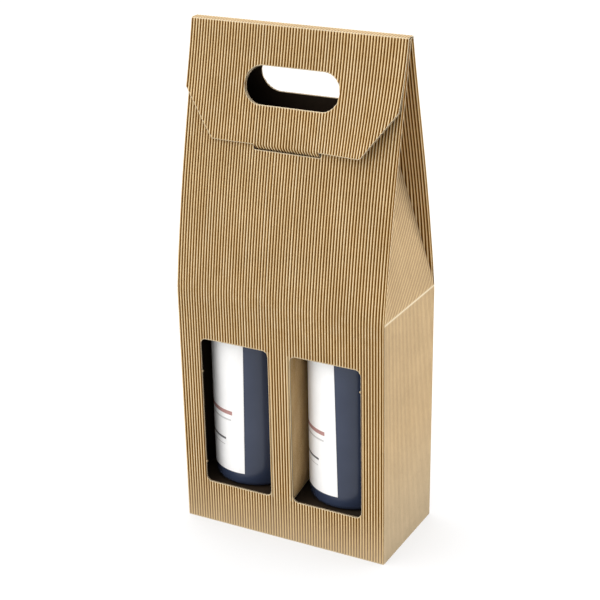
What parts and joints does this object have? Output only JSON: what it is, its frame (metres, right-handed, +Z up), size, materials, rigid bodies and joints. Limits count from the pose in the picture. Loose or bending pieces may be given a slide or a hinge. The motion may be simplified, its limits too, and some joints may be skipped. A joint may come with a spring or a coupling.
{
  "type": "bottle gift box",
  "caption": "Upright gift box of ribbed kraft board for wine bottles, with front windows, a gable top and a tuck-in lid flap with a handle hole.",
  "frame": {"origin": "centre of the base, on the surface the box stands on", "axes": "+Z up to the ridge, +X to the right and -Y to the front, where the windows are"},
  "size_m": [0.18, 0.09, 0.409],
  "materials": {
    "kraft_board": "uncoated kraft, ribbed outside and dark liner inside",
    "bottle_glass": "glossy dark glass, opaque because the bottle is full",
    "label_paper": "uncoated white paper",
    "capsule_foil": "satin foil"
  },
  "bodies": {
    "carton": {"carton_body": "kraft_board", "bottle_rest": "kraft_board", "bottle_left": "bottle_glass", "bottle_right": "bottle_glass", "label_left": "label_paper", "label_right": "label_paper", "capsule_left": "capsule_foil", "capsule_right": "capsule_foil"},
    "lid": {"lid_flap": "kraft_board"}
  },
  "joints": [
    {"name": "lid_hinge", "type": "hinge", "parent": "carton", "child": "lid", "pos_m": [0, 0.0036, 0.409], "axis": [-1, 0, 0], "range_deg": [0, 180]}
  ]
}
